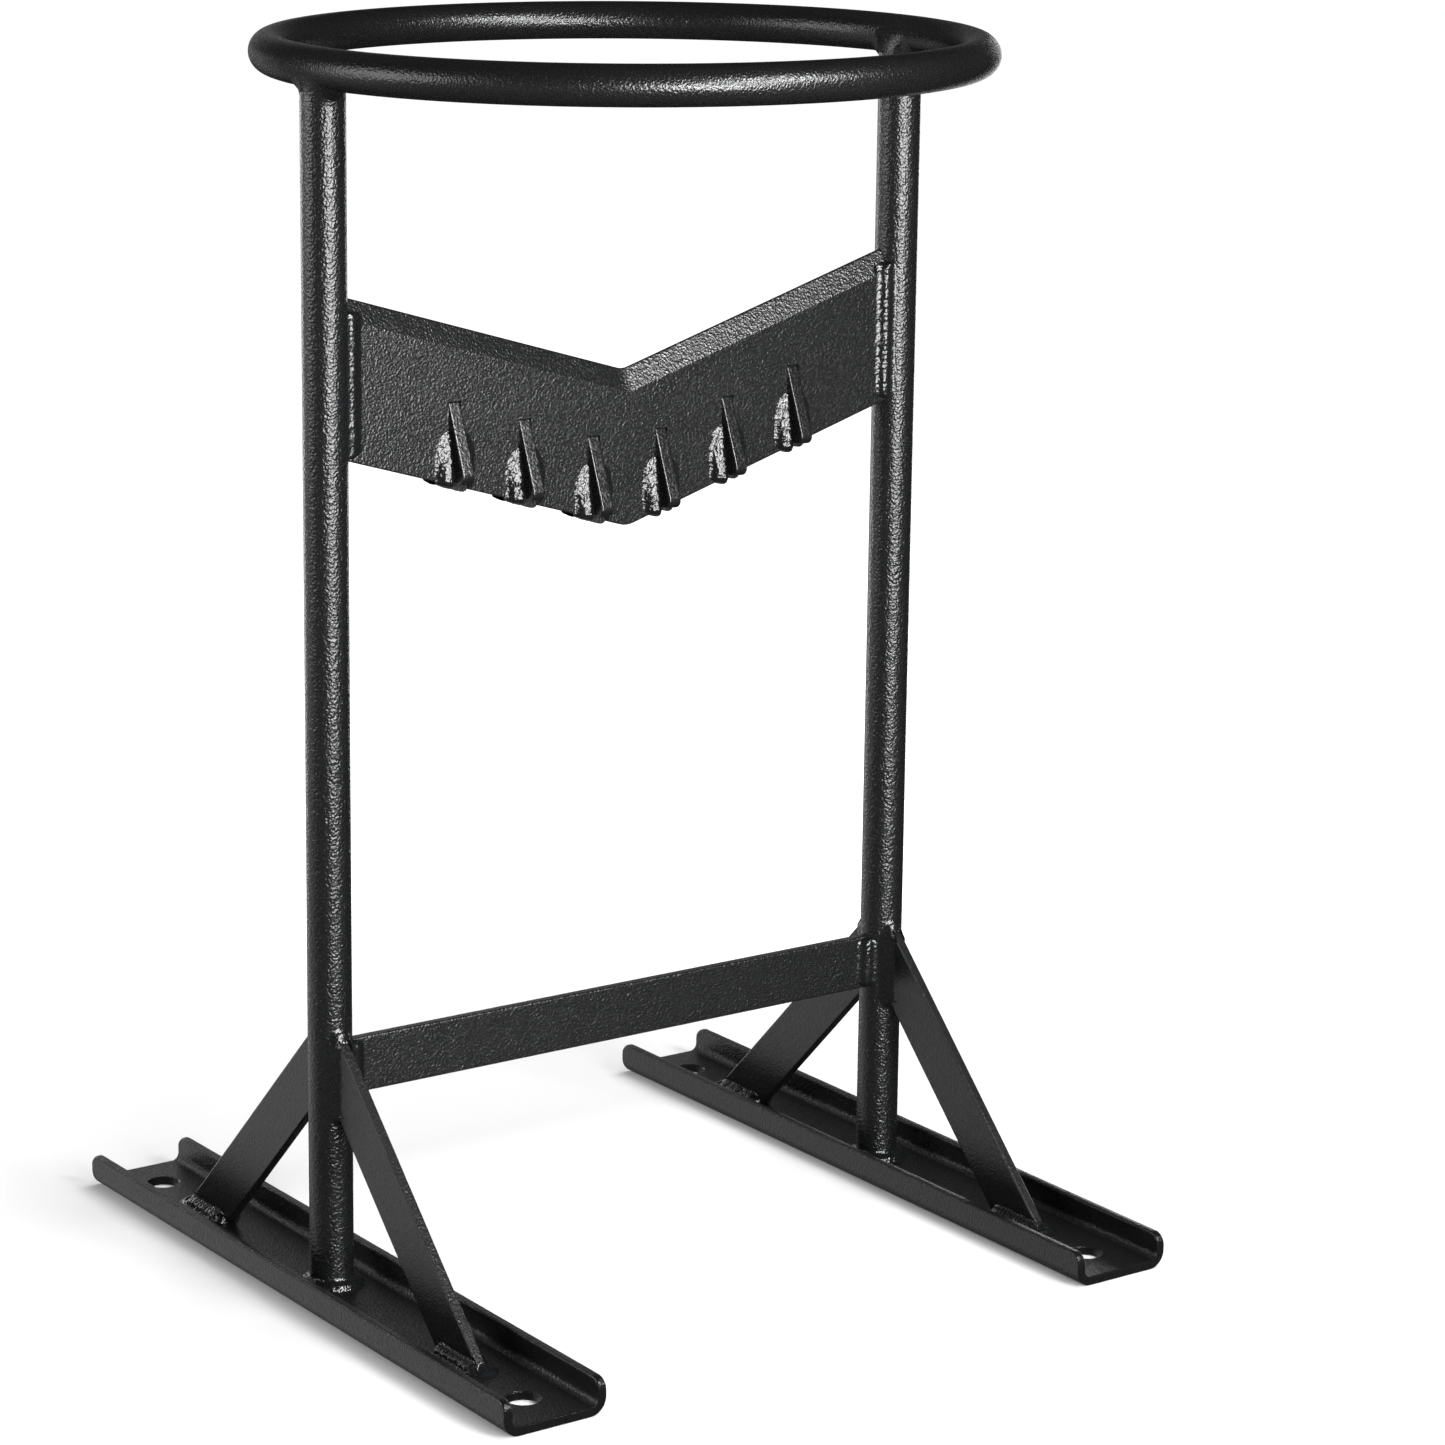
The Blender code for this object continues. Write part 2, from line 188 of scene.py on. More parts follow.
def enamel(name, dark, light, gloss, pebble, depth, edge=None):
    """Black hammertone enamel: pebbled skin, slightly lighter crowns, glossier crowns than valleys.

    pebble is the size of one bump and depth its height, in metres. With edge, the paint is nearly
    all metallic, and edge is how much of its mirror part is left at a grazing angle.
    """
    material = bpy.data.materials.new(name)
    material.use_nodes = True
    tree = material.node_tree
    shader = tree.nodes["Principled BSDF"]
    nodes = Nodes(tree)
    place = nodes.add("ShaderNodeTexCoord").outputs["Object"]
    mapping = nodes.add("ShaderNodeMapping")
    nodes.feed(mapping, {"Vector": place, "Scale": (1.0 / pebble,) * 3})
    spot = mapping.outputs["Vector"]
    warp = nodes.add("ShaderNodeTexNoise")
    nodes.feed(warp, {"Vector": spot, "Scale": 0.55, "Detail": 1.0, "Roughness": 0.5})
    bend = nodes.add("ShaderNodeVectorMath", operation="MULTIPLY_ADD")
    nodes.feed(bend, {0: warp.outputs["Color"], 1: (0.9, 0.9, 0.9), 2: spot})
    cells = nodes.add("ShaderNodeTexVoronoi", feature="SMOOTH_F1")
    nodes.feed(cells, {"Vector": bend.outputs["Vector"], "Scale": 1.0,
                       "Randomness": 0.95, "Smoothness": 0.30})
    reach = cells.outputs["Distance"]
    domes = nodes.math("SUBTRACT", 1.0, nodes.math("MULTIPLY", reach, reach))
    domes = nodes.math("MULTIPLY", domes, 0.75)
    swell = nodes.noise(spot, 1.15, 0.6, 0.5, 0.3)
    height = nodes.math("ADD", domes, nodes.math("MULTIPLY", swell, 1.1))
    patches = nodes.noise(place, 38.0, 2.0, 0.5)

    tint = nodes.ramp(height, VALLEY, CROWN)
    rough = nodes.ramp(height, VALLEY, CROWN, gloss + 0.10, gloss - 0.03)
    rough = nodes.math("ADD", rough, nodes.ramp(patches, 0.3, 0.7, -0.008, 0.012))
    bump = nodes.add("ShaderNodeBump")
    nodes.feed(bump, {"Strength": 1.0, "Distance": depth, "Height": height})
    nodes.feed(shader, {"Base Color": nodes.mix(tint, (*dark, 1.0), (*light, 1.0)),
                        "Roughness": rough, "Normal": bump.outputs["Normal"]})
    shader.inputs["Metallic"].default_value = 0.0 if edge is None else 0.9
    shader.inputs["IOR"].default_value = 1.5
    if edge is not None:
        shader.inputs["Specular Tint"].default_value = (edge, edge, edge, 1.0)
    return material


BLACK = (0.0022, 0.0023, 0.0025)
CHARCOAL = (0.0044, 0.0046, 0.0049)
GUNMETAL = (0.041, 0.0412, 0.0415)
PALE_GUNMETAL = (0.043, 0.0432, 0.0435)
PAINT_POST = enamel("enamel_posts", BLACK, CHARCOAL, 0.25, 0.00125, 0.00024)
PAINT_HOOP = enamel("enamel_hoop", GUNMETAL, PALE_GUNMETAL, 0.26, 0.00105, 0.00016, edge=0.25)
PAINT_BLADE = enamel("enamel_blade", BLACK, CHARCOAL, 0.27, 0.00110, 0.00017)
PAINT_FIN = enamel("enamel_fins", BLACK, CHARCOAL, 0.22, 0.00130, 0.00007)
PAINT_BAR = enamel("enamel_flat_bar", BLACK, CHARCOAL, 0.29, 0.00110, 0.00019)
PAINT_BRACE = enamel("enamel_braces", BLACK, CHARCOAL, 0.33, 0.00100, 0.00012)
PAINT_FOOT = enamel("enamel_feet", BLACK, CHARCOAL, 0.32, 0.00110, 0.00016)
PAINT_WELD = enamel("enamel_welds", BLACK, CHARCOAL, 0.20, 0.00130, 0.00026)
PAINT_SEAM = enamel("enamel_seams", BLACK, CHARCOAL, 0.20, 0.00110, 0.00011)


# ---- mesh helpers ----
SMOOTH_ANGLE = math.radians(32)
BEAD_ANGLE = math.radians(50)


def mesh_object(name, verts, faces):
    """A new object in the scene, with its faces turned outwards."""
    mesh = bpy.data.meshes.new(name)
    mesh.from_pydata([tuple(v) for v in verts], [], faces)
    bm = bmesh.new()
    bm.from_mesh(mesh)
    bmesh.ops.recalc_face_normals(bm, faces=bm.faces)
    bm.to_mesh(mesh)
    bm.free()
    item = bpy.data.objects.new(name, mesh)
    bpy.context.scene.collection.objects.link(item)
    return item


def settle(piece, material, nodes, sharp=SMOOTH_ANGLE):
    """Paint a piece, let it ride on the frame and let it stand for its CAD nodes."""
    mesh = piece.data
    mesh.validate()
    mesh.shade_smooth()
    mesh.set_sharp_from_angle(angle=sharp)
    mesh.materials.clear()
    mesh.materials.append(material)
    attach(piece, BODY)
    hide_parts(*nodes)


def add_piece(name, verts, faces, material, nodes, sharp=SMOOTH_ANGLE):
    settle(mesh_object(name, verts, faces), material, nodes, sharp)


def carve(name, blank, cutters):
    """A new object that is the blank less the cutters, which are all removed."""
    for cutter in cutters:
        difference = blank.modifiers.new("cut", "BOOLEAN")
        difference.operation = "DIFFERENCE"
        difference.solver = "EXACT"
        difference.object = cutter
    bpy.context.view_layer.update()
    graph = bpy.context.evaluated_depsgraph_get()
    mesh = bpy.data.meshes.new_from_object(blank.evaluated_get(graph))
    for item in [blank] + cutters:
        bpy.data.objects.remove(item, do_unlink=True)
    piece = bpy.data.objects.new(name, mesh)
    bpy.context.scene.collection.objects.link(piece)
    return piece


def circle(count):
    """The cosine and sine of each equal step of a full turn."""
    turns = [2 * math.pi * k / count for k in range(count)]
    return [(math.cos(turn), math.sin(turn)) for turn in turns]


def cope(side):
    """The X at which a plate runs into a post, for each distance from the middle plane."""
    return lambda y: side * (POST_X - math.sqrt(POST_R ** 2 - y * y) + COPE_SINK)


def loft(rings, closed=False):
    """Skin equal rings of points, with end caps unless the rings close on themselves."""
    count = len(rings[0])
    verts = [tuple(point) for ring in rings for point in ring]
    faces = []
    turns = len(rings) if closed else len(rings) - 1
    for row in range(turns):
        low, high = row * count, ((row + 1) % len(rings)) * count
        for i in range(count):
            j = (i + 1) % count
            faces.append((low + i, low + j, high + j, high + i))
    if not closed:
        faces.append(tuple(reversed(range(count))))
        faces.append(tuple(range((len(rings) - 1) * count, len(rings) * count)))
    return verts, faces


def rounded_outline(corners, radii, steps=5, hold=0.0005):
    """A closed outline with its corners rounded, and a holding point each side of every corner."""
    points = []
    count = len(corners)
    for i, corner in enumerate(corners):
        p = np.array(corner, float)
        a = np.array(corners[i - 1], float) - p
        b = np.array(corners[(i + 1) % count], float) - p
        la, lb = np.linalg.norm(a), np.linalg.norm(b)
        a, b = a / la, b / lb
        half = math.acos(max(-1.0, min(1.0, float(a @ b)))) / 2
        radius = radii[i]
        reach = radius / math.tan(half)
        centre = p + (a + b) / np.linalg.norm(a + b) * (radius / math.sin(half))
        start, end = p + a * reach, p + b * reach
        if la > 2 * (reach + hold):
            points.append(p + a * (reach + hold))
        u, v = start - centre, end - centre
        sweep = math.pi - 2 * half
        for step in range(steps + 1):
            t = step / steps
            w0 = math.sin((1 - t) * sweep) / math.sin(sweep)
            w1 = math.sin(t * sweep) / math.sin(sweep)
            points.append(centre + u * w0 + v * w1)
        if lb > 2 * (reach + hold):
            points.append(p + b * (reach + hold))
    return points


def inset(outline, distance):
    """The outline moved inwards by a distance. It runs counter-clockwise."""
    points = np.array(outline, float)
    before = points - np.roll(points, 1, axis=0)
    after = np.roll(points, -1, axis=0) - points
    n0 = np.stack([-before[:, 1], before[:, 0]], 1) / np.linalg.norm(before, axis=1)[:, None]
    n1 = np.stack([-after[:, 1], after[:, 0]], 1) / np.linalg.norm(after, axis=1)[:, None]
    total = n0 + n1
    scale = 1.0 + (n0 * n1).sum(1)
    return points + total * (distance / scale)[:, None]


def plate_rings(outline, half_t, radius, steps=4):
    """A plate with rounded rims, as (outline, depth) from one face to the other."""
    levels = [(radius + HOLD, -half_t)]
    for step in range(steps + 1):
        turn = math.pi / 2 * step / steps
        levels.append((radius * (1 - math.sin(turn)), -half_t + radius * (1 - math.cos(turn))))
    levels.append((0.0, -half_t + radius + HOLD))
    levels += [(d, -y) for d, y in reversed(levels)]
    return [(inset(outline, d), y) for d, y in levels]


# ---- hoop and posts ----
def build_hoop():
    rings = []
    for x, y in circle(HOOP_STEPS):
        ring = []
        for out, up in circle(HOOP_SIDES):
            reach = HOOP_RADIUS + HOOP_BAR_R * out
            ring.append((reach * x, reach * y, HOOP_Z + HOOP_BAR_R * up))
        rings.append(ring)
    verts, faces = loft(rings, closed=True)
    add_piece("hoop_ring", verts, faces, PAINT_HOOP, ["hoop"])


def build_posts():
    low = POST_LOW.z
    levels = [low, low + 0.001] + list(np.linspace(low + 0.01, POST_TOP - 0.01, 40)) + [POST_TOP]
    for side, name in SIDES:
        rings = [[(side * POST_X + POST_R * x, POST_R * y, z) for x, y in circle(POST_SIDES)]
                 for z in levels]
        verts, faces = loft(rings)
        add_piece("upright_" + name, verts, faces, PAINT_POST, ["post_" + name])


# ---- blade ----
def blade_base(x):
    """Height of the blade's lower edge, rounded under the V."""
    if abs(x) >= BLADE_TIP_R * math.sin(BLADE_TILT):
        return BLADE_BASE_Z + BLADE_RISE * abs(x)
    centre = BLADE_BASE_Z + BLADE_TIP_R / math.cos(BLADE_TILT)
    return centre - math.sqrt(BLADE_TIP_R ** 2 - x * x)


def blade_edge(x):
    """Height of the cutting edge, rounded in the notch of the V."""
    line = BLADE_BASE_Z + BLADE_DEPTH + BLADE_RISE * abs(x)
    if abs(x) >= NOTCH_R * math.sin(BLADE_TILT):
        return line
    centre = BLADE_BASE_Z + BLADE_DEPTH + NOTCH_R / math.cos(BLADE_TILT)
    return centre - math.sqrt(NOTCH_R ** 2 - x * x)


def blade_profile():
    """Front half of the blade's section as (y, anchor, dz), from the lower edge up.

    The anchor is "base" or "edge", the blade's lower or cutting edge, and dz is measured from it.
    """
    t, r, hold = BLADE_HALF_T, PLATE_ROUND, 0.0005
    points = [(0.0, "base", 0.0), (-(t - r - hold), "base", 0.0)]
    for step in range(6):
        turn = math.pi / 2 * step / 5
        points.append((-(t - r) - r * math.sin(turn), "base", r - r * math.cos(turn)))
    points.append((-t, "base", r + hold))
    lean = math.atan2(t - EDGE_LAND, BEVEL_H)
    soft = BEVEL_SOFT_R
    reach = soft * math.tan(lean / 2)
    points.append((-t, "edge", -BEVEL_H - reach - hold))
    for step in range(5):
        turn = lean * step / 4
        points.append((-t + soft * (1 - math.cos(turn)), "edge",
                       -BEVEL_H - reach + soft * math.sin(turn)))
    up = reach + hold
    points.append((-t + up * math.sin(lean), "edge", -BEVEL_H + up * math.cos(lean)))
    tip = 0.0005
    points.append((-EDGE_LAND - tip * math.sin(lean) * 1.6, "edge", -tip * 1.6 * math.cos(lean)))
    points.append((-EDGE_LAND - tip * math.sin(lean) * 0.6, "edge", -tip * 0.6 * math.cos(lean)))
    points.append((-EDGE_LAND * 0.7, "edge", -0.00008))
    points.append((0.0, "edge", 0.0))
    return points


def blade_ring(x_of):
    """The blade's whole section, at the X that x_of gives for each distance from the middle plane."""
    front = blade_profile()
    back = [(-y, anchor, dz) for y, anchor, dz in reversed(front[1:-1])]
    ring = []
    for y, anchor, dz in front + back:
        x = x_of(y)
        line = blade_base(x) if anchor == "base" else blade_edge(x)
        ring.append((x, y, line + dz))
    return ring


def build_blade():
    """The V plate is lofted along X, its ends coped to the posts, then slotted for the fins."""
    tip = BLADE_TIP_R * math.sin(BLADE_TILT)
    notch = NOTCH_R * math.sin(BLADE_TILT)
    half = [notch / 4, notch / 2, notch * 3 / 4, notch, tip, tip + 0.0006, 0.012, 0.060, 0.110]
    places = [-x for x in reversed(half)] + [0.0] + half
    rings = [blade_ring(cope(-1))]
    rings += [blade_ring(lambda y, x=x: x) for x in places]
    rings.append(blade_ring(cope(1)))
    verts, faces = loft(rings)
    blank = mesh_object("blade_blank", verts, faces)
    cutters = []
    for name in FIN_NAMES:
        low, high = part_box(name)
        cutters.append(slot_cutter(low.x - SLOT_CLEAR, high.x + SLOT_CLEAR, high.z + SLOT_HEADROOM))
    piece = carve("blade_plate", blank, cutters)
    settle(piece, PAINT_BLADE, ["blade"])


def slot_cutter(x0, x1, top):
    corners = [(x0, -SLOT_REACH), (x1, -SLOT_REACH), (x1, SLOT_REACH), (x0, SLOT_REACH)]
    verts, faces = loft([[(x, y, z) for x, y in corners] for z in (top - SLOT_DROP, top)])
    return mesh_object("slot_cutter", verts, faces)


# ---- fins ----
def build_fins():
    for name in FIN_NAMES:
        low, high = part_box(name)
        half_w = (high.y - low.y) / 2
        height = high.z - low.z
        corners = [(-half_w, 0.0), (half_w, 0.0), (FIN_TOP_HALF, height), (-FIN_TOP_HALF, height)]
        outline = rounded_outline(corners, [FIN_FOOT_R, FIN_FOOT_R, FIN_TOP_R, FIN_TOP_R], 7)
        half_t = (high.x - low.x) / 2
        middle = (low.x + high.x) / 2
        rings = []
        for ring, depth in plate_rings(outline, half_t, PLATE_ROUND):
            rings.append([(middle + depth, y, low.z + z) for y, z in ring])
        verts, faces = loft(rings)
        add_piece(name.replace("fin", "wedge"), verts, faces, PAINT_FIN, [name])


# ---- cross bar ----
def build_cross_bar():
    t, low, high = BAR_HALF_T, BAR_LOW.z, BAR_HIGH.z
    outline = rounded_outline([(-t, low), (t, low), (t, high), (-t, high)], [BAR_ROUND] * 4, 4)
    rings = [[(cope(-1)(y), y, z) for y, z in outline]]
    rings += [[(x, y, z) for y, z in outline] for x in np.linspace(-0.13, 0.13, 14)]
    rings.append([(cope(1)(y), y, z) for y, z in outline])
    verts, faces = loft(rings)
    add_piece("tie_bar", verts, faces, PAINT_BAR, ["cross_bar"])


# ---- feet ----
def arc(cx, cy, radius, start, end, steps):
    """Points of an arc about (cx, cy), from one angle to another, in degrees."""
    angles = [math.radians(start + (end - start) * i / steps) for i in range(steps + 1)]
    return [(cx + radius * math.cos(a), cy + radius * math.sin(a)) for a in angles]


def foot_outline(top):
    """A channel's (x, z) section with its flanges up to a height, counter-clockwise."""
    bend = FOOT_HALF_W - FOOT_OUTER_R
    inside = FOOT_HALF_W - FOOT_T
    lip, rim = FOOT_LIP_R, top - FOOT_LIP_R
    half = [(bend - HOLD, 0.0)]
    half += arc(bend, FOOT_OUTER_R, FOOT_OUTER_R, -90, 0, 12)
    half += [(FOOT_HALF_W, FOOT_OUTER_R + HOLD), (FOOT_HALF_W, rim - HOLD)]
    half += arc(FOOT_HALF_W - lip, rim, lip, 0, 90, 5)
    half += arc(inside + lip, rim, lip, 90, 180, 5)
    half += [(inside, rim - HOLD), (inside, FOOT_OUTER_R + HOLD)]
    half += arc(bend, FOOT_OUTER_R, FOOT_OUTER_R - FOOT_T, 0, -90, 9)
    half += [(bend - HOLD, WEB_Z)]
    return half + [(-x, z) for x, z in reversed(half)]


def hole_cutter(x, y):
    """A punched hole with its rims broken, as a cutter turned about Z."""
    rim, wide = HOLE_RIM, FOOT_HOLE_R + HOLE_RIM
    profile = [(-0.01, wide), (0.0, wide), (rim, FOOT_HOLE_R),
               (WEB_Z - rim, FOOT_HOLE_R), (WEB_Z, wide), (0.02, wide)]
    rings = [[(x + radius * dx, y + radius * dy, z) for dx, dy in circle(HOLE_SIDES)]
             for z, radius in profile]
    verts, faces = loft(rings)
    return mesh_object("hole_cutter", verts, faces)


def build_feet():
    """The channels are lofted along Y with rounded noses, then punched."""
    rim = 0.0004
    levels = [(rim + 0.0003, 0.0), (rim, 0.0), (rim * 0.3, rim * 0.3), (0.0, rim), (0.0, rim + HOLD)]
    levels += [(0.0, FOOT_NOSE_R * share) for share in (0.28, 0.42, 0.58, 0.76, 1.0)]
    places = [(d, -FOOT_HALF_L + y) for d, y in levels]
    places += [(0.0, y) for y in np.linspace(-0.16, 0.16, 9)]
    places += [(d, FOOT_HALF_L - y) for d, y in reversed(levels)]
    for side, name in SIDES:
        rings = []
        for distance, y in places:
            short = max(0.0, FOOT_NOSE_R - (FOOT_HALF_L - abs(y)))
            top = FOOT_H - FOOT_NOSE_R + math.sqrt(FOOT_NOSE_R ** 2 - short ** 2)
            outline = inset(foot_outline(top), distance)
            rings.append([(side * POST_X + x, y, z) for x, z in outline])
        verts, faces = loft(rings)
        blank = mesh_object("foot_blank", verts, faces)
        cutters = [hole_cutter(side * POST_X, end * FOOT_HOLE_Y) for end, _ in ENDS]
        piece = carve("channel_foot_" + name, blank, cutters)
        settle(piece, PAINT_FOOT, ["foot_" + name])


# ---- braces ----
def brace_corners(name):
    """The brace's outline as (distance from the post's axis, z), counter-clockwise from +X."""
    low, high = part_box(name)
    near = min(abs(low.y), abs(high.y))
    far = max(abs(low.y), abs(high.y))
    width = BAR_HIGH.z - BAR_LOW.z
    run, rise = far - near, high.z - low.z
    length = math.hypot(run, rise)
    foot_w, wall_w = width * length / rise, width * length / run
    return [(near, high.z - wall_w), (far - foot_w, low.z), (far, low.z), (near, high.z)]


def build_braces():
    for side, post in SIDES:
        for end, place in ENDS:
            node = "brace_%s_%s" % (post, place)
            outline = rounded_outline(brace_corners(node), [BRACE_CORNER_R] * 4, 4)
            rings = []
            for ring, depth in plate_rings(outline, BAR_HALF_T, BAR_ROUND):
                rings.append([(side * POST_X + depth, end * y, z) for y, z in ring])
            verts, faces = loft(rings)
            add_piece("strut_%s_%s" % (post, place), verts, faces, PAINT_BRACE,
                      [node])


# ---- weld beads ----
BEAD_SAMPLES = 21           # points across a bead
COLLAR_SAMPLES = 23
TURN_STEPS = 12             # sections of a half turn round a plate's edge
RING_STEPS = 150
COLLAR_STEPS = 160
BLADE_SEAM = {"legs": (0.0050, 0.0027), "crown": 0.0026, "lean": 0.72, "ripple": 0.06,
              "rough": 0.00026, "flare": 0.0022, "ends": (0.10, 0.75)}
BAR_SEAM = {"legs": (0.0050, 0.0036), "crown": 0.0022, "lean": 0.6, "ripple": 0.06,
            "pitch": 0.0026, "chevron": -0.0022, "flare": 0.0018, "ends": (0.2, 0.5)}
FIN_SEAM = {"ripple": 0.0, "rough": 0.00042, "taper": 0.0070, "flare": 0.0015,
            "ends": (0.12, 0.30), "paint": PAINT_WELD}
BRACE_TOP_SEAM = {"closed": True, "ripple": 0.0, "rough": 0.00016, "flare": 0.0020}
BRACE_FOOT_SEAM = {"ripple": 0.10, "flare": 0.0020, "taper": 0.0050, "ends": (0.15, 0.20)}
POST_FOOT_SEAM = {"closed": True, "ripple": 0.10, "flare": 0.0020}
FIN_BEAD_SHARE = 0.66       # how far up the fins their beads reach
FIN_BEAD_LIFT = 0.0016      # where the fins' beads turn in under the blade
BRACE_LEG = 0.0042          # the legs of the beads at the braces' ends
TOP_TURN = 0.0008           # how far the beads at the braces' tops bow round the edges
TOE_TURN = 0.0012           # and those at their feet


def spline(control, count):
    """Points along a clamped quadratic B-spline through its first and last control points."""
    control = np.array(control, float)
    last = len(control) - 1
    knots = [0.0] * 3 + [float(k) for k in range(1, last - 1)] + [float(last - 1)] * 3
    out = []
    for u in np.linspace(0.0, last - 1 - 1e-9, count):
        span = min(int(u) + 2, last)
        d = [control[j] for j in range(span - 2, span + 1)]
        for r in range(1, 3):
            for j in range(2, r - 1, -1):
                i = span - 2 + j
                alpha = (u - knots[i]) / (knots[i + 3 - r] - knots[i])
                d[j] = (1 - alpha) * d[j - 1] + alpha * d[j]
        out.append(d[2])
    return np.array(out)


def bead(name, stations, node, seed, ripple, flare, closed=False, pitch=0.0021, rough=0.00022,
         taper=0.0035, chevron=0.0016, ends=(1.0, 1.0), paint=PAINT_SEAM):
    """A weld bead laid in a corner between two surfaces.

    Each station is (surface_a, surface_b, leg_a, leg_b, crown, lean): a surface maps (distance from
    the corner, height off the surface) to a point, crown is how far the ridge stands out from the
    line between the toes, and lean is its share of the way from the first toe to the second.
    ripple is the ripples' share of the crown, pitch their spacing and chevron how far their middles
    lead; rough is the depth of the random waviness. flare is how gently the toes run out, taper the
    length over which the bead thins, and ends the share of each leg left where it stops.
    """
    mids = np.array([np.array(station[0](0.0, 0.0), float) for station in stations])
    steps = np.linalg.norm(np.diff(mids, axis=0), axis=1)
    along = np.concatenate([[0.0], np.cumsum(steps)])
    total = along[-1]
    rings = []
    for s, (a, b, leg_a, leg_b, crown, lean) in zip(along, stations):
        if closed:
            end = 1.0
        else:
            near = min(s, total - s) / taper
            end = math.sqrt(max(0.0, 1.0 - (1.0 - min(1.0, near)) ** 2))
        swell = 1.0 + 0.10 * noise.noise(Vector((s * 260.0, seed, 3.7)))
        la = leg_a * (ends[0] + (1.0 - ends[0]) * end) * swell
        lb = leg_b * (ends[1] + (1.0 - ends[1]) * end) * swell
        p0, p1 = np.array(a(la, 0.0), float), np.array(b(lb, 0.0), float)
        corner = np.array(a(0.0, 0.0), float)
        out = (p0 + p1) / 2 - corner
        out = out / max(np.linalg.norm(out), 1e-9)
        sink = 0.00006 + 0.0010 * (1.0 - end)
        run = flare * (0.3 + 0.7 * end)
        start = np.array(a(la + run, -sink), float)
        finish = np.array(b(lb + run * 0.8, -sink), float)
        drop = out * (0.0012 * (1.0 - end))
        ridge = p0 * (1.0 - lean) + p1 * lean + out * crown * end - drop
        curve = spline([start, p0 - drop * 0.6, ridge, p1 - drop * 0.6, finish], BEAD_SAMPLES)
        for k in range(BEAD_SAMPLES):
            v = 2.0 * k / (BEAD_SAMPLES - 1) - 1.0
            weight = max(0.0, 1.0 - v * v) ** 1.2 * end
            phase = (s + chevron * v * v) / pitch * 2 * math.pi
            wobble = noise.noise(Vector((s * 300.0, seed * 1.7, 1.3)))
            wave = math.cos(phase + 1.6 * wobble)
            grain = noise.noise(Vector(curve[k] * 620.0) + Vector((seed, 0.0, 0.0)))
            shift = crown * ripple * 0.5 * wave + rough * grain
            curve[k] = curve[k] + out * (shift * weight)
        root = corner - out * 0.0012
        rings.append([tuple(p) for p in curve] + [tuple(root)])
    verts, faces = loft(rings, closed)
    add_piece(name, verts, faces, paint, [node], BEAD_ANGLE)


def plane(corner, away, normal):
    """A flat surface by a corner point, the direction away from it and its outward normal."""
    corner, away, normal = (np.array(v, float) for v in (corner, away, normal))
    return lambda d, h: corner + away * d + normal * h


def post_wall(side, angle, turn, z):
    """The post's wall from an angle on, turning one way, at a height."""
    def place(d, h):
        a = angle + turn * d / POST_R
        reach = POST_R + h
        return np.array((side * POST_X + reach * math.cos(a), reach * math.sin(a), z))
    return place


def heights(low, high):
    """Evenly spaced places from low to high, about a station apart."""
    count = max(6, int((high - low) / STATION))
    return [low + (high - low) * i / (count - 1) for i in range(count)]


def upright_bead(name, node, side, end, half_t, low, high, seed, legs, crown, lean, **look):
    """A bead up the corner between a post and the plate that meets it on its inner side."""
    inward = 0.0 if side < 0 else math.pi
    tip = math.asin(half_t / POST_R)
    angle = inward + (end * tip if side < 0 else -end * tip)
    turn = end if side < 0 else -end
    stations = []
    for z in heights(low, high):
        corner = (side * POST_X + POST_R * math.cos(angle), end * half_t, z)
        face = plane(corner, (-side, 0, 0), (0, end, 0))
        stations.append((face, post_wall(side, angle, turn, z), legs[0], legs[1], crown, lean))
    bead(name, stations, node, seed, **look)


def build_blade_beads():
    for side, post in SIDES:
        for end, place in ENDS:
            x = POST_X - math.sqrt(POST_R ** 2 - BLADE_HALF_T ** 2)
            low = BLADE_BASE_Z + BLADE_RISE * x + 0.0008
            high = BLADE_BASE_Z + BLADE_DEPTH + BLADE_RISE * x - BEVEL_H + 0.004
            upright_bead("bead_blade_%s_%s" % (post, place), "weld_blade_%s_%s" % (post, place),
                         side, end, BLADE_HALF_T, low, high, 3.0 * side + end, **BLADE_SEAM)


def build_bar_beads():
    for side, post in SIDES:
        for end, place in ENDS:
            upright_bead("bead_bar_%s_%s" % (post, place), "weld_bar_%s_%s" % (post, place),
                         side, end, BAR_HALF_T, BAR_LOW.z + 0.0004, BAR_HIGH.z - 0.0002,
                         11.0 + 2.0 * side + end, **BAR_SEAM)


def build_fin_beads():
    """One bead each side of a fin: up the front, and up the back, joined under the blade's edge."""
    for number, name in enumerate(FIN_NAMES, start=1):
        low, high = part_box(name)
        half_t = (high.x - low.x) / 2
        middle = (low.x + high.x) / 2
        for side, hand in SIDES:
            x = middle + side * half_t
            base = blade_base(x)
            stop = low.z + (high.z - low.z) * FIN_BEAD_SHARE
            levels = heights(base + FIN_BEAD_LIFT, stop)
            stations = [fin_station(x, side, -1, z, low, high) for z in reversed(levels)]
            stations += [fin_turn(x, side, base, k / 10) for k in range(1, 10)]
            stations += [fin_station(x, side, 1, z, low, high) for z in levels]
            bead("bead_wedge_%d_%s" % (number, hand), stations, "weld_fin_%d_%s" % (number, hand),
                 20.0 + number * 2.3 + side, **FIN_SEAM)


def fin_station(x, side, end, z, low, high):
    """A section of the bead up a fin: full at the fin's foot, thinner towards the top."""
    corner = (x, end * BLADE_HALF_T, z)
    share = max(0.0, min(1.0, (z - low.z) / (high.z - low.z)))
    wall = plane(corner, (side, 0, 0), (0, end, 0))
    flank = plane(corner, (0, end, 0), (side, 0, 0))
    low_part = max(0.0, 1.0 - share / 0.42)
    high_part = max(0.0, share - 0.30) / 0.33
    leg_blade = 0.0064 - 0.0008 * low_part - 0.0022 * high_part
    leg_fin = 0.0019 + 0.0020 * low_part - 0.0009 * high_part
    return (wall, flank, leg_blade, leg_fin, 0.0004 + 0.0012 * low_part, 0.55)


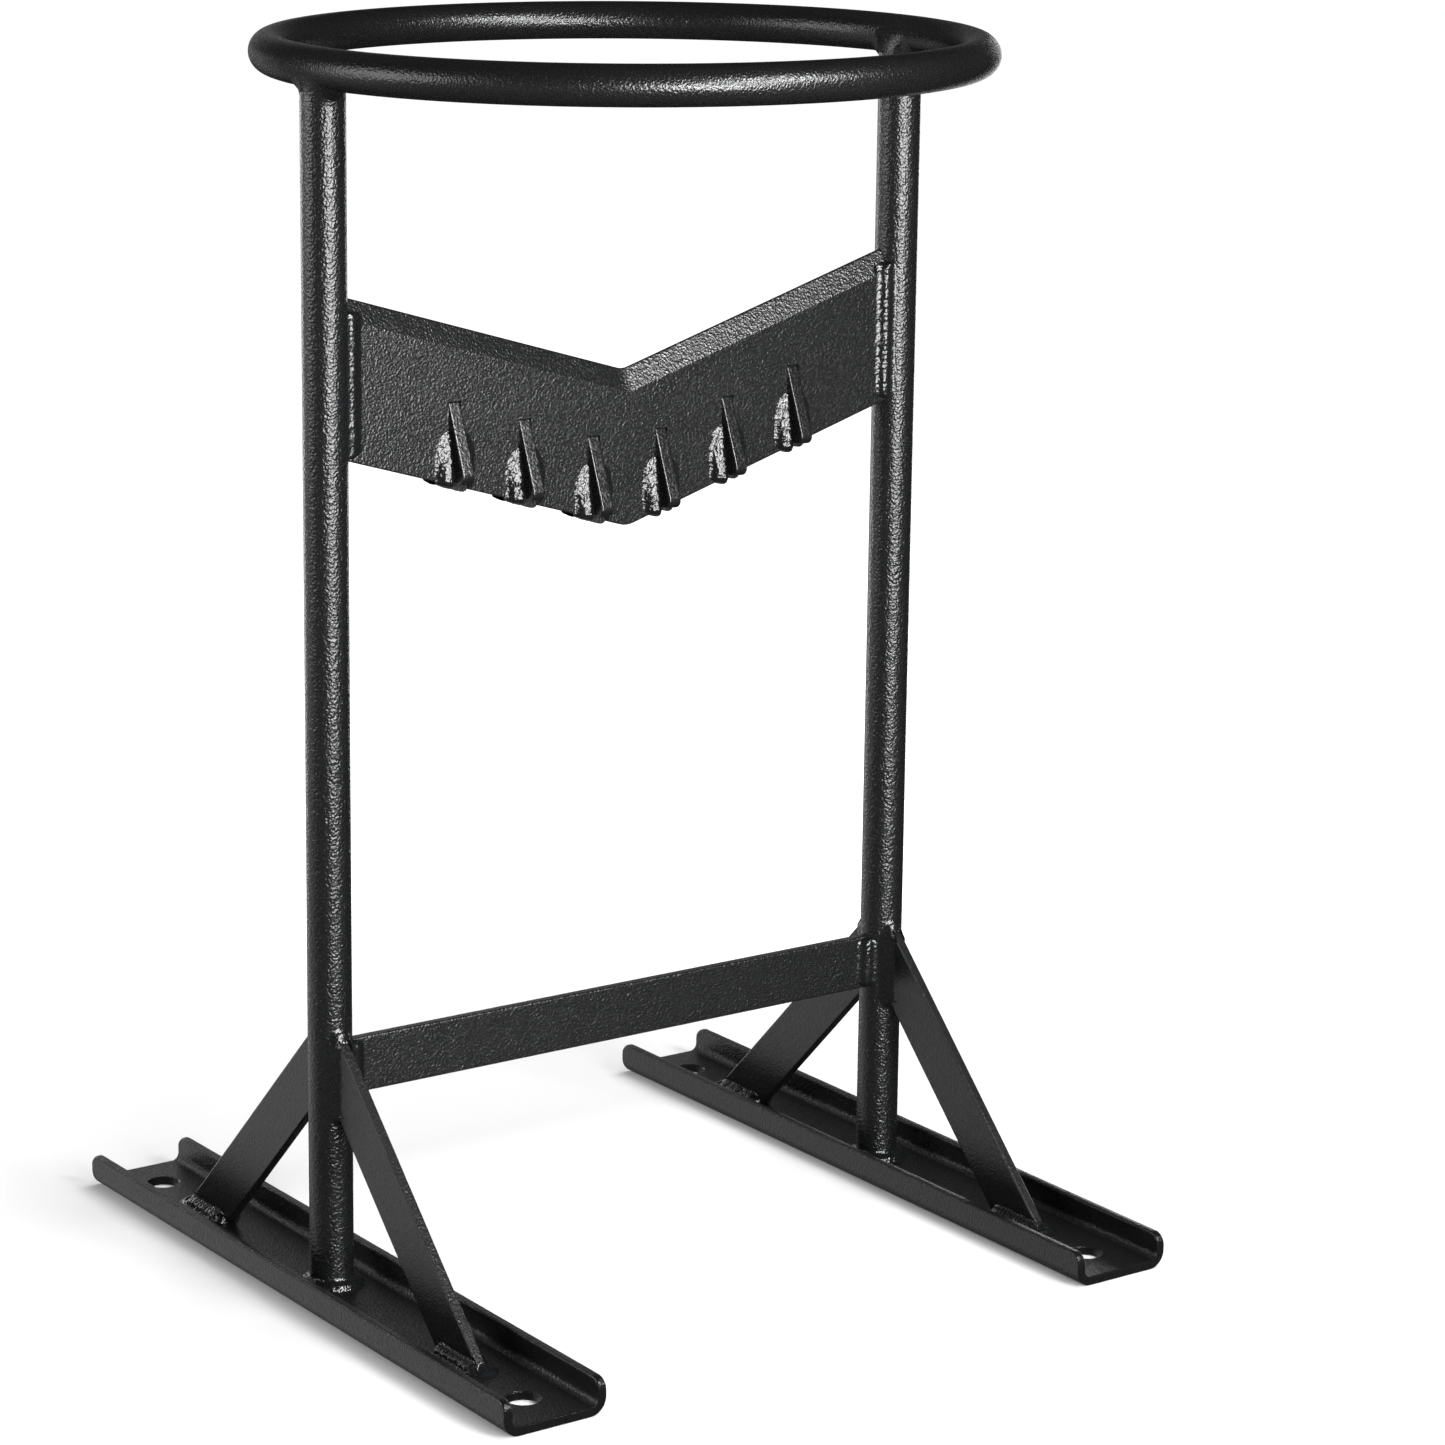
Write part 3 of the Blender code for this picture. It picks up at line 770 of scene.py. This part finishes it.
def fin_turn(x, side, base, share):
    """Stations that carry the bead round the blade's lower edge, from the front to the back."""
    turn = math.pi * share
    y = -math.cos(turn) * BLADE_HALF_T
    out = (0.0, -math.cos(turn), -math.sin(turn))
    lean = abs(math.cos(turn)) ** 3
    corner = (x, y, base + FIN_BEAD_LIFT * (1 - math.sin(turn)))
    wall = plane(corner, (side, 0, 0), out)
    flank = plane(corner, out, (side, 0, 0))
    leg_blade, leg_fin = 0.0044 + 0.0012 * lean, 0.0008 + 0.0031 * lean
    return (wall, flank, leg_blade, leg_fin, 0.0004 + 0.0012 * lean, 0.55)


def build_brace_beads():
    for side, post in SIDES:
        for end, place in ENDS:
            node = "brace_%s_%s" % (post, place)
            corners = brace_corners(node)
            brace_top_bead(side, end, post, place, corners)
            brace_foot_bead(side, end, post, place, corners)


def brace_top_bead(side, end, post, place, corners):
    """A smooth fillet all round the brace where it meets the post, as a closed loop."""
    under, top = corners[0][1], corners[3][1]
    spread = (corners[2][0] - corners[3][0]) / (corners[3][1] - corners[2][1])
    x0 = side * POST_X
    tip = math.asin(BAR_HALF_T / POST_R)
    straight = end * math.pi / 2
    stations = []
    levels = heights(under + TOP_TURN, top - TOP_TURN)

    def flank_station(hand, z):
        angle = straight - end * hand * tip
        corner = (x0 + hand * BAR_HALF_T, POST_R * math.sin(angle), z)
        face = plane(corner, (0, end, 0), (hand, 0, 0))
        wall = post_wall(side, angle, -end * hand, z)
        room = min(BRACE_LEG, 0.0010 + (top - z) * spread * 0.8)
        return (wall, face, 0.0030 + 0.0014 * room / BRACE_LEG, room, 0.0001, 0.5)

    def turn_station(turn, rise, z, slope_away, legs, crown):
        hand = -math.cos(turn)
        x = BAR_HALF_T * hand
        angle = straight - end * math.asin(x / POST_R)
        corner = np.array((x0 + x, POST_R * math.sin(angle), z))
        out = np.array((hand, 0.0, rise * math.sin(turn)))

        def wall(d, h):
            p = corner + out * d
            flat = p[:2] - np.array((x0, 0.0))
            flat = flat / np.linalg.norm(flat) * (POST_R + h)
            return np.array((x0 + flat[0], flat[1], p[2]))

        away = np.array((math.cos(angle), math.sin(angle), slope_away))
        return (wall, plane(corner, away / np.linalg.norm(away), out), legs[0], legs[1], crown, 0.5)

    for z in reversed(levels):
        stations.append(flank_station(-1, z))
    for k in range(1, TURN_STEPS):
        turn = math.pi * k / TURN_STEPS
        z = under + TOP_TURN * (1 - math.sin(turn))
        stations.append(turn_station(turn, -1.0, z, 0.0, (0.0036, 0.0032), 0.0004))
    for z in levels:
        stations.append(flank_station(1, z))
    for k in range(TURN_STEPS - 1, 0, -1):
        turn = math.pi * k / TURN_STEPS
        bow = math.sin(turn)
        z = top - TOP_TURN * (1 - bow)
        legs = (0.0030, 0.0010 + 0.0016 * bow)
        stations.append(turn_station(turn, 1.0, z, -bow / spread, legs, 0.0008 * bow))
    bead("bead_strut_%s_%s_top" % (post, place), stations, "weld_brace_%s_%s_top" % (post, place),
         50.0 + side * 3 + end, **BRACE_TOP_SEAM)


def brace_foot_bead(side, end, post, place, corners):
    """Along one face of the brace on the foot's web, round its toe and back along the other face."""
    heel, toe = corners[1][0], corners[2][0]
    slope = math.atan2(corners[3][1] - corners[2][1], corners[2][0] - corners[3][0])
    x0 = side * POST_X
    stations = []
    run = heights(heel + 0.001, toe - TOE_TURN)
    limit = math.tan(slope)

    def flank_station(hand, y):
        corner = (x0 + hand * BAR_HALF_T, end * y, WEB_Z)
        floor = plane(corner, (hand, 0, 0), (0, 0, 1))
        face = plane(corner, (0, 0, 1), (hand, 0, 0))
        room = max(0.0010, min(BRACE_LEG, (toe - y) * limit * 0.85))
        return (floor, face, BRACE_LEG, room, 0.0013, 0.5)

    for y in run:
        stations.append(flank_station(-1, y))
    for k in range(1, TURN_STEPS):
        turn = math.pi * k / TURN_STEPS
        hand, bow = -math.cos(turn), math.sin(turn)
        out = (hand, end * bow, 0.0)
        corner = (x0 + hand * BAR_HALF_T, end * (toe - TOE_TURN * (1 - bow)), WEB_Z)
        floor = plane(corner, out, (0, 0, 1))
        back = (hand * 0.2, -end * bow * math.cos(slope), math.sin(slope) * bow + 0.35)
        face = plane(corner, back, out)
        stations.append((floor, face, BRACE_LEG * 0.9, 0.0018 + 0.0010 * bow, 0.0011, 0.5))
    for y in reversed(run):
        stations.append(flank_station(1, y))
    bead("bead_strut_%s_%s_foot" % (post, place), stations, "weld_brace_%s_%s_foot" % (post, place),
         70.0 + side * 3 + end, **BRACE_FOOT_SEAM)


def build_post_beads():
    """A ring bead where each post stands on its foot."""
    for side, name in SIDES:
        stations = []
        for dx, dy in circle(RING_STEPS):
            out = (dx, dy, 0.0)
            corner = (side * POST_X + POST_R * dx, POST_R * dy, WEB_Z)
            floor, wall = plane(corner, out, (0, 0, 1)), plane(corner, (0, 0, 1), out)
            stations.append((floor, wall, 0.0040, 0.0042, 0.0014, 0.5))
        bead("bead_upright_%s_foot" % name, stations, "weld_foot_" + name, 90.0 + side,
             **POST_FOOT_SEAM)


def hoop_point(x, y, tilt, lift=0.0):
    """A point of the hoop's surface level with (x, y): tilt turns from its underside outwards."""
    turn = math.atan2(y, x)
    radius = HOOP_BAR_R + lift
    reach = HOOP_RADIUS + radius * math.sin(tilt)
    return np.array((reach * math.cos(turn), reach * math.sin(turn),
                     HOOP_Z - radius * math.cos(tilt)))


def build_hoop_beads():
    """A ground collar that flows from each post's top into the underside of the hoop."""
    for side, name in SIDES:
        rings = [collar_section(side, dx, dy) for dx, dy in circle(COLLAR_STEPS)]
        verts, faces = loft(rings, closed=True)
        add_piece("bead_upright_%s_hoop" % name, verts, faces, PAINT_HOOP,
                  ["weld_hoop_" + name], BEAD_ANGLE)


def collar_section(side, dx, dy):
    """The collar's section in the direction (dx, dy) from the post's axis, from its wall up."""
    grow = 1.0 + 0.10 * noise.noise(Vector((dx * 2.2, dy * 2.2, 7.0 + side)))
    foot_x, foot_y = side * POST_X + POST_R * dx, POST_R * dy
    off = math.hypot(foot_x, foot_y) - HOOP_RADIUS
    dip = HOOP_BAR_R * math.cos(min(1.25, math.asin(min(1.0, abs(off) / HOOP_BAR_R))))
    touch = HOOP_Z - dip
    leg = (COLLAR_LEG - 0.0014 * side * dx) * grow
    reach = POST_R + leg * 0.85
    x, y = side * POST_X + reach * dx, reach * dy
    away = (math.hypot(x, y) - HOOP_RADIUS) / HOOP_BAR_R
    tilt = math.asin(min(0.9, abs(away))) + max(0.0, abs(away) - 0.9) * 0.85
    tilt = math.copysign(tilt, away)
    top = hoop_point(x, y, tilt)
    past = math.copysign(0.14, away) * min(1.0, abs(away) * 2.0)
    far = hoop_point(x, y, tilt + past, -0.00006)
    far = far + np.array((dx, dy, 0.0)) * 0.0012 * max(0.0, 1.0 - abs(away) * 2.0)
    low = np.array((foot_x, foot_y, touch - leg))
    lower = low - np.array((0.00006 * dx, 0.00006 * dy, 0.0016))
    rise = 0.0036 * min(1.0, max(0.0, -away - 0.9))
    corner = np.array((foot_x, foot_y, touch - 0.0016 + rise))
    curve = spline([lower, low, corner * 0.6 + (low + top) * 0.2, top, far], COLLAR_SAMPLES)
    lean = np.array((dx * 0.7, dy * 0.7, -0.7))
    for i in range(COLLAR_SAMPLES):
        v = 2.0 * i / (COLLAR_SAMPLES - 1) - 1.0
        grain = noise.noise(Vector(curve[i] * 420.0))
        curve[i] = curve[i] + lean * (0.00014 * grain * (1 - v * v))
    core = POST_R - 0.003
    inner = (side * POST_X + core * dx, core * dy, touch - leg - 0.0010)
    return [tuple(p) for p in curve] + [inner]


# ---- studio ----
TARGET = Vector((-0.0282, 0.0, 0.2688))
CAMERA_AT = Vector((-1.04687, -1.51262, 0.69296))
CAMERA_RIGHT = Vector((0.83007544, -0.55762976, 0.00487958))
CAMERA_UP = Vector((0.12237316, 0.19068501, 0.97399386))
LENS, SENSOR = 108.06, 36.0
SHIFT_X, SHIFT_Y = 0.1084, -0.0504
RIGHT = (0.985, 0.174, 0.0)  # the side that stays dark in the reflections


def build_camera():
    data = bpy.data.cameras.new("camera")
    data.lens, data.sensor_width = LENS, SENSOR
    data.shift_x, data.shift_y = SHIFT_X, SHIFT_Y
    data.clip_start, data.clip_end = 0.05, 60.0
    camera = bpy.data.objects.new("camera", data)
    turn = Matrix((CAMERA_RIGHT, CAMERA_UP, CAMERA_RIGHT.cross(CAMERA_UP))).transposed()
    camera.matrix_world = Matrix.Translation(CAMERA_AT) @ turn.to_4x4()
    bpy.context.scene.collection.objects.link(camera)
    bpy.context.scene.camera = camera


def direction(azimuth, elevation):
    """The direction at an angle round from the front towards +X, and up, in degrees."""
    a, e = math.radians(azimuth), math.radians(elevation)
    return Vector((math.sin(a) * math.cos(e), -math.cos(a) * math.cos(e), math.sin(e)))


def softbox(name, azimuth, elevation, distance, width, height, glow):
    """A rectangular soft light; glow is its surface brightness."""
    data = bpy.data.lights.new(name, "AREA")
    data.shape = "RECTANGLE"
    data.size, data.size_y = width, height
    data.energy = glow * math.pi * width * height
    light = bpy.data.objects.new(name, data)
    away = direction(azimuth, elevation)
    light.location = TARGET + away * distance
    light.rotation_euler = away.to_track_quat("Z", "Y").to_euler()
    light.visible_camera = False
    bpy.context.scene.collection.objects.link(light)
    return light


def link_light(light, names, state):
    """Keep a light off the named pieces (EXCLUDE), or let it fall on them alone (INCLUDE)."""
    group = bpy.data.collections.new("linked_to_" + light.name)
    for name in names:
        group.objects.link(bpy.data.objects[name])
    light.light_linking.receiver_collection = group
    for member in group.collection_objects:
        member.light_linking.link_state = state


def build_lights():
    feet = ["channel_foot_left", "channel_foot_right"]
    struts = ["strut_%s_%s" % (post, place) for _, post in SIDES for _, place in ENDS]
    key = softbox("key_box", -4.0, 7.0, 1.6, 0.96, 0.88, 20.0)
    softbox("upper_box", 14, 28, 1.6, 0.52, 0.40, 42.0)
    softbox("side_box", -109, 15, 1.6, 1.2, 0.8, 4.6)
    # Seen from behind, the feet and the hoop would mirror the whole key light as plain white.
    link_light(key, feet + ["hoop_ring"], "EXCLUDE")
    small_key = softbox("hoop_box", -9.0, 6.0, 1.6, 0.66, 0.50, 40.0)
    link_light(small_key, ["hoop_ring"], "INCLUDE")
    over = softbox("top_box", 95, 68, 1.9, 1.6, 1.6, 6.0)
    over.visible_glossy = False
    back = softbox("back_box", 184, -3, 1.7, 0.6, 0.9, 2.4)
    right = softbox("right_box", 126, -2, 1.7, 0.34, 0.9, 3.0)
    flank = softbox("flank_box", 90, -8, 1.7, 1.3, 0.9, 3.2)
    link_light(flank, feet + struts, "INCLUDE")
    back.visible_diffuse = right.visible_diffuse = flank.visible_diffuse = False


def build_world():
    """A white surround for the camera, and a dim studio with a pale floor for the reflections."""
    world = bpy.data.worlds.new("studio")
    bpy.context.scene.world = world
    world.use_nodes = True
    tree = world.node_tree
    tree.nodes.clear()
    nodes = Nodes(tree)
    way = nodes.add("ShaderNodeTexCoord").outputs["Generated"]
    split = nodes.add("ShaderNodeSeparateXYZ")
    nodes.feed(split, {0: way})
    up = split.outputs[2]
    floor = nodes.ramp(up, 0.06, -0.10)
    dark_side = nodes.ramp(nodes.facing(way, RIGHT), 0.35, 0.80, 1.0, 0.05)
    left_glow = nodes.ramp(nodes.facing(way, direction(-146, -13)), 0.68, 0.98, 0.0, 0.58)
    low_glow = nodes.math("ADD", nodes.math("MULTIPLY", dark_side, 0.16), left_glow)
    low_glow = nodes.math("MULTIPLY", low_glow, floor)
    low_glow = nodes.math("MULTIPLY", low_glow, nodes.ramp(up, -0.35, -0.85, 1.0, 0.45))
    horizon = nodes.math("MULTIPLY", nodes.ramp(up, -0.12, -0.03),
                         nodes.ramp(up, 0.18, 0.35, 1.0, 0.0))
    back_low = nodes.ramp(nodes.facing(way, direction(145, 0)), 0.60, 0.92, 0.0, 0.30)
    back_low = nodes.math("MULTIPLY", back_low, horizon)
    back_high = nodes.ramp(nodes.facing(way, direction(178, 20)), 0.80, 0.93, 0.0, 0.42)
    back_glow = nodes.math("ADD", back_low, back_high)
    total = nodes.math("ADD", nodes.math("ADD", low_glow, back_glow), 0.02)
    dim = nodes.add("ShaderNodeBackground")
    nodes.feed(dim, {"Color": WHITE, "Strength": total})
    white = nodes.add("ShaderNodeBackground")
    nodes.feed(white, {"Color": WHITE, "Strength": 1.0})
    seen = nodes.add("ShaderNodeLightPath").outputs["Is Camera Ray"]
    blend = nodes.add("ShaderNodeMixShader")
    nodes.feed(blend, {0: seen, 1: dim.outputs[0], 2: white.outputs[0]})
    out = nodes.add("ShaderNodeOutputWorld")
    nodes.feed(out, {"Surface": blend.outputs[0]})


def build_floor():
    """A broad pale disc: matt near the object, where the shadows fall, and evenly white further out."""
    radii, sides = [0.02, 0.5, 1.0, 2.0, 5.0, 15.0, 40.0], 96
    verts = [(0.0, 0.0, 0.0)]
    verts += [(radius * x, radius * y, 0.0) for radius in radii for x, y in circle(sides)]
    faces = [(0, 1 + k, 1 + (k + 1) % sides) for k in range(sides)]
    for row in range(len(radii) - 1):
        for k in range(sides):
            a, b = 1 + row * sides + k, 1 + row * sides + (k + 1) % sides
            faces.append((a, b, b + sides, a + sides))
    item = mesh_object("studio_floor", verts, faces)
    material = bpy.data.materials.new("studio_floor")
    material.use_nodes = True
    tree = material.node_tree
    tree.nodes.clear()
    nodes = Nodes(tree)
    place = nodes.add("ShaderNodeTexCoord").outputs["Object"]
    reach = nodes.add("ShaderNodeVectorMath", operation="LENGTH")
    nodes.feed(reach, {0: place})
    glow = nodes.math("MULTIPLY", nodes.ramp(reach.outputs["Value"], 0.25, 0.60), 0.9)
    matt = nodes.add("ShaderNodeBsdfDiffuse")
    nodes.feed(matt, {"Color": (0.56, 0.56, 0.56, 1.0)})
    lift = nodes.add("ShaderNodeEmission")
    nodes.feed(lift, {"Color": WHITE, "Strength": nodes.math("ADD", glow, 0.08)})
    both = nodes.add("ShaderNodeAddShader")
    nodes.feed(both, {0: matt.outputs[0], 1: lift.outputs[0]})
    out = nodes.add("ShaderNodeOutputMaterial")
    nodes.feed(out, {"Surface": both.outputs[0]})
    item.data.materials.append(material)
    item.visible_glossy = False


def main():
    build_hoop()
    build_posts()
    build_blade()
    build_fins()
    build_cross_bar()
    build_feet()
    build_braces()
    build_blade_beads()
    build_bar_beads()
    build_fin_beads()
    build_brace_beads()
    build_post_beads()
    build_hoop_beads()
    build_camera()
    build_world()
    build_lights()
    build_floor()
    bpy.context.scene.view_settings.view_transform = "Standard"
    bpy.context.scene.view_settings.look = "None"


main()
